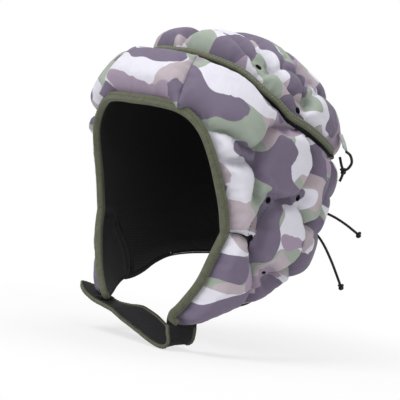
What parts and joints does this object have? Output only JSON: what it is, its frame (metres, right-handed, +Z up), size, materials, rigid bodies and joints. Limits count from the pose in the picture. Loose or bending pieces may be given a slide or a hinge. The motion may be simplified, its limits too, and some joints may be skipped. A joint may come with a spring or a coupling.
{
  "type": "soccer headgear",
  "caption": "Soft padded football headgear: stitched foam pads under a camouflage cover, open face, cheek flaps, rear lacing and a hook-and-loop chin strap.",
  "frame": {"origin": "centre of the wearer's head at its widest level, inside the headgear", "axes": "+Z up through the crown, -Y out of the face opening, +X to the wearer's left"},
  "size_m": [0.1792, 0.2106, 0.2498],
  "materials": {
    "print": "camouflage print on knit",
    "foam": "closed-cell foam",
    "mesh": "black mesh",
    "binding": "olive tape",
    "strap": "black webbing",
    "hook": "hook tape",
    "lace": "round cord",
    "tab": "printed tab"
  },
  "bodies": {
    "shell": {"crown_binding": "binding", "crown_cover": "print", "crown_middle_foam": "foam", "crown_rear_edging": "mesh", "crown_rear_foam": "foam", "crown_top_foam": "foam", "face_binding": "binding", "forehead_cover": "print", "forehead_foam": "foam", "lace_end_lower": "lace", "lace_end_upper": "lace", "left_brow_foam": "foam", "left_cheek_foam": "foam", "left_crown_back_side_foam": "foam", "left_crown_fore_side_foam": "foam", "left_crown_mid_side_foam": "foam", "left_ear_foam": "foam", "left_lower_foam": "foam", "left_nape_cover": "print", "left_nape_foam": "foam", "left_neck_edging": "mesh", "left_rear_foam": "foam", "left_side_cover": "print", "left_side_foam": "foam", "left_tab": "tab", "left_temple_foam": "foam", "left_tie": "lace", "rear_lace": "lace", "right_brow_foam": "foam", "right_cheek_foam": "foam", "right_crown_back_side_foam": "foam", "right_crown_fore_side_foam": "foam", "right_crown_mid_side_foam": "foam", "right_ear_foam": "foam", "right_lower_foam": "foam", "right_nape_cover": "print", "right_nape_foam": "foam", "right_neck_edging": "mesh", "right_rear_foam": "foam", "right_side_cover": "print", "right_side_foam": "foam", "right_tab": "tab", "right_temple_foam": "foam", "right_tie": "lace", "shell_lining": "mesh"},
    "left_flap": {"left_flap_cover": "print", "left_flap_foam": "foam", "left_flap_lining": "mesh", "left_flap_binding": "binding", "strap_root": "strap"},
    "right_flap": {"right_flap_cover": "print", "right_flap_foam": "foam", "right_flap_lining": "mesh", "right_flap_binding": "binding", "loop_patch": "strap"},
    "strap": {"chin_strap": "strap", "chin_strap_binding": "binding", "hook_patch": "hook"}
  },
  "joints": [
    {"name": "chin_strap_swing", "type": "hinge", "parent": "left_flap", "child": "strap", "pos_m": [0.04226, -0.05147, -0.1365], "axis": [-0.5157, -0.8568, 0], "range_deg": [0, 65]},
    {"name": "left_flap_flex", "type": "hinge", "parent": "shell", "child": "left_flap", "pos_m": [0.0801, -0.0391, -0.0625], "axis": [-0.2478, -0.9688, 0], "range_deg": [0, 20]},
    {"name": "right_flap_flex", "type": "hinge", "parent": "shell", "child": "right_flap", "pos_m": [-0.0801, -0.0391, -0.0625], "axis": [-0.2478, 0.9688, 0], "range_deg": [0, 20]}
  ],
  "couplings": [
    {"joint": "left_flap_flex", "follows": "chin_strap_swing", "ratio": 0.25},
    {"joint": "right_flap_flex", "follows": "chin_strap_swing", "ratio": 0.25}
  ]
}
